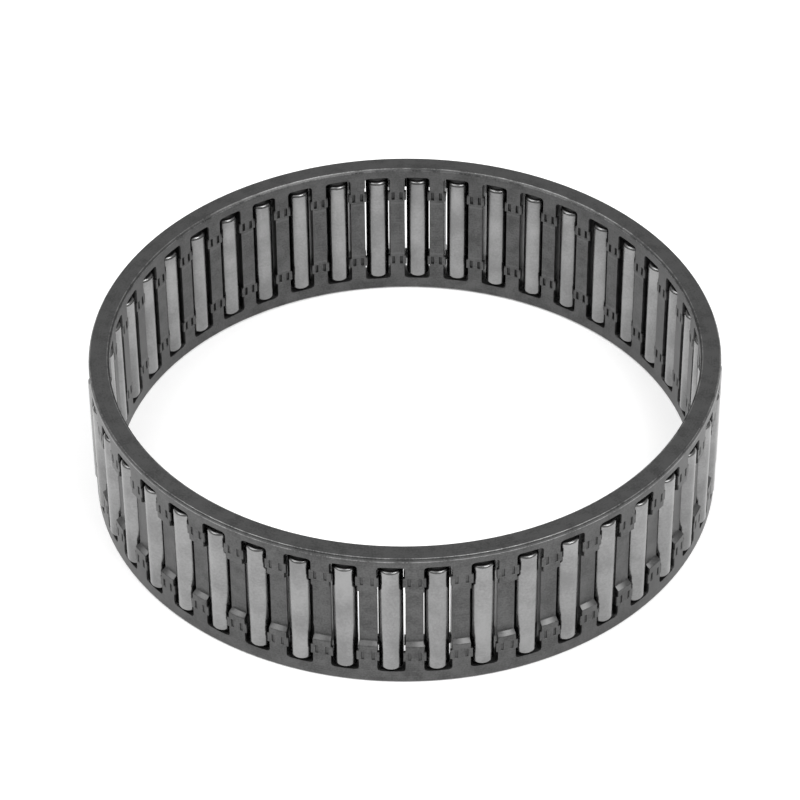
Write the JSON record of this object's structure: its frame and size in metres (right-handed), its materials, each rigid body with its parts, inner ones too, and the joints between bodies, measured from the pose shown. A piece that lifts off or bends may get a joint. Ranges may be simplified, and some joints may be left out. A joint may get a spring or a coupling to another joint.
{
  "type": "needle roller bearing",
  "caption": "Needle roller and cage assembly: steel needles that turn freely in the pockets of a ring-shaped steel cage, run directly between a shaft and a housing.",
  "frame": {"origin": "centre of the bearing: on its axis, half way along its width", "axes": "+Z along the bearing axis, +X through the middle of the bar between needle_44 and needle_01, needles numbered anticlockwise seen from +Z"},
  "size_m": [0.0788, 0.0788, 0.02],
  "materials": {
    "cage_steel": "dark phosphated, fine satin",
    "needle_steel": "ground and superfinished bearing steel"
  },
  "bodies": {
    "cage": {"cage": "cage_steel"},
    "needle_01": {"needle_01": "needle_steel"},
    "needle_02": {"needle_02": "needle_steel"},
    "needle_03": {"needle_03": "needle_steel"},
    "needle_04": {"needle_04": "needle_steel"},
    "needle_05": {"needle_05": "needle_steel"},
    "needle_06": {"needle_06": "needle_steel"},
    "needle_07": {"needle_07": "needle_steel"},
    "needle_08": {"needle_08": "needle_steel"},
    "needle_09": {"needle_09": "needle_steel"},
    "needle_10": {"needle_10": "needle_steel"},
    "needle_11": {"needle_11": "needle_steel"},
    "needle_12": {"needle_12": "needle_steel"},
    "needle_13": {"needle_13": "needle_steel"},
    "needle_14": {"needle_14": "needle_steel"},
    "needle_15": {"needle_15": "needle_steel"},
    "needle_16": {"needle_16": "needle_steel"},
    "needle_17": {"needle_17": "needle_steel"},
    "needle_18": {"needle_18": "needle_steel"},
    "needle_19": {"needle_19": "needle_steel"},
    "needle_20": {"needle_20": "needle_steel"},
    "needle_21": {"needle_21": "needle_steel"},
    "needle_22": {"needle_22": "needle_steel"},
    "needle_23": {"needle_23": "needle_steel"},
    "needle_24": {"needle_24": "needle_steel"},
    "needle_25": {"needle_25": "needle_steel"},
    "needle_26": {"needle_26": "needle_steel"},
    "needle_27": {"needle_27": "needle_steel"},
    "needle_28": {"needle_28": "needle_steel"},
    "needle_29": {"needle_29": "needle_steel"},
    "needle_30": {"needle_30": "needle_steel"},
    "needle_31": {"needle_31": "needle_steel"},
    "needle_32": {"needle_32": "needle_steel"},
    "needle_33": {"needle_33": "needle_steel"},
    "needle_34": {"needle_34": "needle_steel"},
    "needle_35": {"needle_35": "needle_steel"},
    "needle_36": {"needle_36": "needle_steel"},
    "needle_37": {"needle_37": "needle_steel"},
    "needle_38": {"needle_38": "needle_steel"},
    "needle_39": {"needle_39": "needle_steel"},
    "needle_40": {"needle_40": "needle_steel"},
    "needle_41": {"needle_41": "needle_steel"},
    "needle_42": {"needle_42": "needle_steel"},
    "needle_43": {"needle_43": "needle_steel"},
    "needle_44": {"needle_44": "needle_steel"}
  },
  "joints": [
    {"name": "needle_01_spin", "type": "hinge", "parent": "cage", "child": "needle_01", "pos_m": [0.03791, 0.00265, 0], "axis": [0, 0, 1], "continuous": true},
    {"name": "needle_02_spin", "type": "hinge", "parent": "cage", "child": "needle_02", "pos_m": [0.03714, 0.00802, 0], "axis": [0, 0, 1], "continuous": true},
    {"name": "needle_03_spin", "type": "hinge", "parent": "cage", "child": "needle_03", "pos_m": [0.03563, 0.01322, 0], "axis": [0, 0, 1], "continuous": true},
    {"name": "needle_04_spin", "type": "hinge", "parent": "cage", "child": "needle_04", "pos_m": [0.03338, 0.01816, 0], "axis": [0, 0, 1], "continuous": true},
    {"name": "needle_05_spin", "type": "hinge", "parent": "cage", "child": "needle_05", "pos_m": [0.03046, 0.02272, 0], "axis": [0, 0, 1], "continuous": true},
    {"name": "needle_06_spin", "type": "hinge", "parent": "cage", "child": "needle_06", "pos_m": [0.02691, 0.02683, 0], "axis": [0, 0, 1], "continuous": true},
    {"name": "needle_07_spin", "type": "hinge", "parent": "cage", "child": "needle_07", "pos_m": [0.02282, 0.03038, 0], "axis": [0, 0, 1], "continuous": true},
    {"name": "needle_08_spin", "type": "hinge", "parent": "cage", "child": "needle_08", "pos_m": [0.01826, 0.03332, 0], "axis": [0, 0, 1], "continuous": true},
    {"name": "needle_09_spin", "type": "hinge", "parent": "cage", "child": "needle_09", "pos_m": [0.01334, 0.03558, 0], "axis": [0, 0, 1], "continuous": true},
    {"name": "needle_10_spin", "type": "hinge", "parent": "cage", "child": "needle_10", "pos_m": [0.00814, 0.03712, 0], "axis": [0, 0, 1], "continuous": true},
    {"name": "needle_11_spin", "type": "hinge", "parent": "cage", "child": "needle_11", "pos_m": [0.00277, 0.0379, 0], "axis": [0, 0, 1], "continuous": true},
    {"name": "needle_12_spin", "type": "hinge", "parent": "cage", "child": "needle_12", "pos_m": [-0.00265, 0.03791, 0], "axis": [0, 0, 1], "continuous": true},
    {"name": "needle_13_spin", "type": "hinge", "parent": "cage", "child": "needle_13", "pos_m": [-0.00802, 0.03714, 0], "axis": [0, 0, 1], "continuous": true},
    {"name": "needle_14_spin", "type": "hinge", "parent": "cage", "child": "needle_14", "pos_m": [-0.01322, 0.03563, 0], "axis": [0, 0, 1], "continuous": true},
    {"name": "needle_15_spin", "type": "hinge", "parent": "cage", "child": "needle_15", "pos_m": [-0.01816, 0.03338, 0], "axis": [0, 0, 1], "continuous": true},
    {"name": "needle_16_spin", "type": "hinge", "parent": "cage", "child": "needle_16", "pos_m": [-0.02272, 0.03046, 0], "axis": [0, 0, 1], "continuous": true},
    {"name": "needle_17_spin", "type": "hinge", "parent": "cage", "child": "needle_17", "pos_m": [-0.02683, 0.02691, 0], "axis": [0, 0, 1], "continuous": true},
    {"name": "needle_18_spin", "type": "hinge", "parent": "cage", "child": "needle_18", "pos_m": [-0.03038, 0.02282, 0], "axis": [0, 0, 1], "continuous": true},
    {"name": "needle_19_spin", "type": "hinge", "parent": "cage", "child": "needle_19", "pos_m": [-0.03332, 0.01826, 0], "axis": [0, 0, 1], "continuous": true},
    {"name": "needle_20_spin", "type": "hinge", "parent": "cage", "child": "needle_20", "pos_m": [-0.03558, 0.01334, 0], "axis": [0, 0, 1], "continuous": true},
    {"name": "needle_21_spin", "type": "hinge", "parent": "cage", "child": "needle_21", "pos_m": [-0.03712, 0.00814, 0], "axis": [0, 0, 1], "continuous": true},
    {"name": "needle_22_spin", "type": "hinge", "parent": "cage", "child": "needle_22", "pos_m": [-0.0379, 0.00277, 0], "axis": [0, 0, 1], "continuous": true},
    {"name": "needle_23_spin", "type": "hinge", "parent": "cage", "child": "needle_23", "pos_m": [-0.03791, -0.00265, 0], "axis": [0, 0, 1], "continuous": true},
    {"name": "needle_24_spin", "type": "hinge", "parent": "cage", "child": "needle_24", "pos_m": [-0.03714, -0.00802, 0], "axis": [0, 0, 1], "continuous": true},
    {"name": "needle_25_spin", "type": "hinge", "parent": "cage", "child": "needle_25", "pos_m": [-0.03563, -0.01322, 0], "axis": [0, 0, 1], "continuous": true},
    {"name": "needle_26_spin", "type": "hinge", "parent": "cage", "child": "needle_26", "pos_m": [-0.03338, -0.01816, 0], "axis": [0, 0, 1], "continuous": true},
    {"name": "needle_27_spin", "type": "hinge", "parent": "cage", "child": "needle_27", "pos_m": [-0.03046, -0.02272, 0], "axis": [0, 0, 1], "continuous": true},
    {"name": "needle_28_spin", "type": "hinge", "parent": "cage", "child": "needle_28", "pos_m": [-0.02691, -0.02683, 0], "axis": [0, 0, 1], "continuous": true},
    {"name": "needle_29_spin", "type": "hinge", "parent": "cage", "child": "needle_29", "pos_m": [-0.02282, -0.03038, 0], "axis": [0, 0, 1], "continuous": true},
    {"name": "needle_30_spin", "type": "hinge", "parent": "cage", "child": "needle_30", "pos_m": [-0.01826, -0.03332, 0], "axis": [0, 0, 1], "continuous": true},
    {"name": "needle_31_spin", "type": "hinge", "parent": "cage", "child": "needle_31", "pos_m": [-0.01334, -0.03558, 0], "axis": [0, 0, 1], "continuous": true},
    {"name": "needle_32_spin", "type": "hinge", "parent": "cage", "child": "needle_32", "pos_m": [-0.00814, -0.03712, 0], "axis": [0, 0, 1], "continuous": true},
    {"name": "needle_33_spin", "type": "hinge", "parent": "cage", "child": "needle_33", "pos_m": [-0.00277, -0.0379, 0], "axis": [0, 0, 1], "continuous": true},
    {"name": "needle_34_spin", "type": "hinge", "parent": "cage", "child": "needle_34", "pos_m": [0.00265, -0.03791, 0], "axis": [0, 0, 1], "continuous": true},
    {"name": "needle_35_spin", "type": "hinge", "parent": "cage", "child": "needle_35", "pos_m": [0.00802, -0.03714, 0], "axis": [0, 0, 1], "continuous": true},
    {"name": "needle_36_spin", "type": "hinge", "parent": "cage", "child": "needle_36", "pos_m": [0.01322, -0.03563, 0], "axis": [0, 0, 1], "continuous": true},
    {"name": "needle_37_spin", "type": "hinge", "parent": "cage", "child": "needle_37", "pos_m": [0.01816, -0.03338, 0], "axis": [0, 0, 1], "continuous": true},
    {"name": "needle_38_spin", "type": "hinge", "parent": "cage", "child": "needle_38", "pos_m": [0.02272, -0.03046, 0], "axis": [0, 0, 1], "continuous": true},
    {"name": "needle_39_spin", "type": "hinge", "parent": "cage", "child": "needle_39", "pos_m": [0.02683, -0.02691, 0], "axis": [0, 0, 1], "continuous": true},
    {"name": "needle_40_spin", "type": "hinge", "parent": "cage", "child": "needle_40", "pos_m": [0.03038, -0.02282, 0], "axis": [0, 0, 1], "continuous": true},
    {"name": "needle_41_spin", "type": "hinge", "parent": "cage", "child": "needle_41", "pos_m": [0.03332, -0.01826, 0], "axis": [0, 0, 1], "continuous": true},
    {"name": "needle_42_spin", "type": "hinge", "parent": "cage", "child": "needle_42", "pos_m": [0.03558, -0.01334, 0], "axis": [0, 0, 1], "continuous": true},
    {"name": "needle_43_spin", "type": "hinge", "parent": "cage", "child": "needle_43", "pos_m": [0.03712, -0.00814, 0], "axis": [0, 0, 1], "continuous": true},
    {"name": "needle_44_spin", "type": "hinge", "parent": "cage", "child": "needle_44", "pos_m": [0.0379, -0.00277, 0], "axis": [0, 0, 1], "continuous": true}
  ]
}
